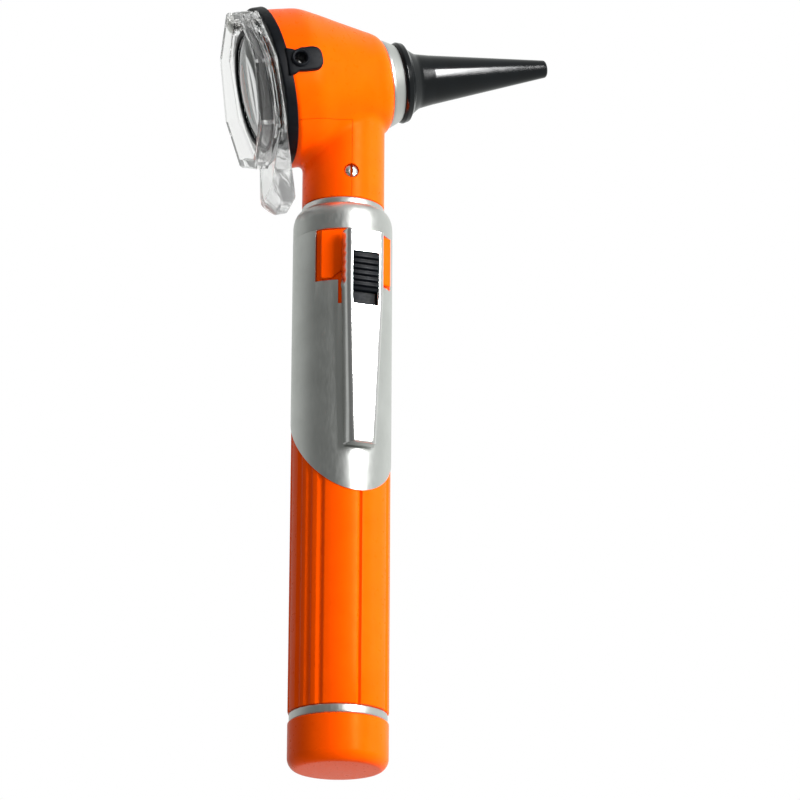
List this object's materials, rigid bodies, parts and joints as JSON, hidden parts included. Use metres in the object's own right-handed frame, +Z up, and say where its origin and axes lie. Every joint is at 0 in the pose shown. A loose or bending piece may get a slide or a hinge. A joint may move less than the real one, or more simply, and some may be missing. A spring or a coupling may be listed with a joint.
{
  "type": "otoscope",
  "caption": "Pocket otoscope: battery handle with slide switch and clip, screw-on lit head, swing-aside magnifier and push-on ear speculum.",
  "frame": {"origin": "centre of the flat base of the end cap, on the handle's axis", "axes": "+Z up the handle towards the head, +X towards the side the speculum points to, -Y the side of the clip, switch and insufflation port"},
  "size_m": [0.0684, 0.0349, 0.1593],
  "materials": {
    "orange_plastic": "satin moulded orange, fine texture",
    "satin_silver": "satin, fine turned",
    "clip_steel": "pressed, polished",
    "screw_steel": "turned",
    "black_plastic": "matte moulded",
    "gloss_black": "polished",
    "clear_acrylic": "polished clear acrylic",
    "lens_glass": "polished",
    "brass_contact": "plain",
    "spring_steel": "drawn wire",
    "cell_jacket": "satin sleeve, unmarked",
    "light_guide": "translucent fibres",
    "insert_metal": "machined"
  },
  "bodies": {
    "handle": {"handle_tube": "orange_plastic", "handle_sleeve": "satin_silver", "switch_saddle": "orange_plastic", "collar": "satin_silver", "contact_strip": "brass_contact", "lower_ring": "satin_silver", "battery_lower": "cell_jacket", "battery_upper": "cell_jacket", "contact_block": "black_plastic", "contact_pin": "brass_contact"},
    "clip": {"clip": "clip_steel"},
    "switch": {"switch_button": "black_plastic", "switch_wiper": "brass_contact"},
    "cap_carrier": {"cap_contact": "brass_contact", "cap_spring": "spring_steel"},
    "end_cap": {"end_cap": "orange_plastic"},
    "neck_carrier": {"neck_ring": "satin_silver"},
    "head": {"head_shell": "orange_plastic", "head_rear_cover": "orange_plastic", "rear_plate": "black_plastic", "nose_cone": "satin_silver", "sight_tube": "black_plastic", "fibre_ring": "light_guide", "fibre_bundle": "light_guide", "neck_insert": "insert_metal", "set_screw": "screw_steel", "lamp_holder": "insert_metal", "lamp_base": "brass_contact", "lamp_bulb": "lens_glass", "lamp_contact": "brass_contact", "insufflation_tube": "screw_steel", "pivot_screw": "screw_steel", "pivot_washer": "screw_steel"},
    "lens": {"lens_frame": "clear_acrylic", "magnifier_lens": "lens_glass", "lens_ring": "black_plastic"},
    "speculum": {"speculum": "gloss_black"}
  },
  "joints": [
    {"name": "clip_flex", "type": "hinge", "parent": "handle", "child": "clip", "pos_m": [0.00146, -0.0104, 0.108], "axis": [-0.9903, -0.1392, 0], "range_deg": [0, 4.5], "stiffness_Nm_per_rad": 0.4},
    {"name": "switch_slide", "type": "slide", "parent": "handle", "child": "switch", "axis": [0, 0, -1], "range_m": [0, 0.0026]},
    {"name": "cap_travel", "type": "slide", "parent": "handle", "child": "cap_carrier", "axis": [0, 0, -1], "range_m": [0, 0.00601]},
    {"name": "cap_turn", "type": "hinge", "parent": "cap_carrier", "child": "end_cap", "pos_m": [0, 0, 0.005], "axis": [0, 0, -1], "range_deg": [0, 1440]},
    {"name": "head_lift", "type": "slide", "parent": "handle", "child": "neck_carrier", "axis": [0, 0, 1], "range_m": [0, 0.00451]},
    {"name": "head_turn", "type": "hinge", "parent": "neck_carrier", "child": "head", "pos_m": [0, 0, 0.1165], "axis": [0, 0, 1], "range_deg": [0, 1080]},
    {"name": "lens_swing", "type": "hinge", "parent": "head", "child": "lens", "pos_m": [-0.02209, 0, 0.15636], "axis": [0.9659, 0, 0.2588], "range_deg": [-100, 100]},
    {"name": "speculum_pull", "type": "slide", "parent": "head", "child": "speculum", "axis": [0.9813, 0, 0.1925], "range_m": [0, 0.018]}
  ],
  "couplings": [
    {"joint": "cap_travel", "follows": "cap_turn", "m_per_rad": 0.00023873},
    {"joint": "head_lift", "follows": "head_turn", "m_per_rad": 0.00023873}
  ]
}
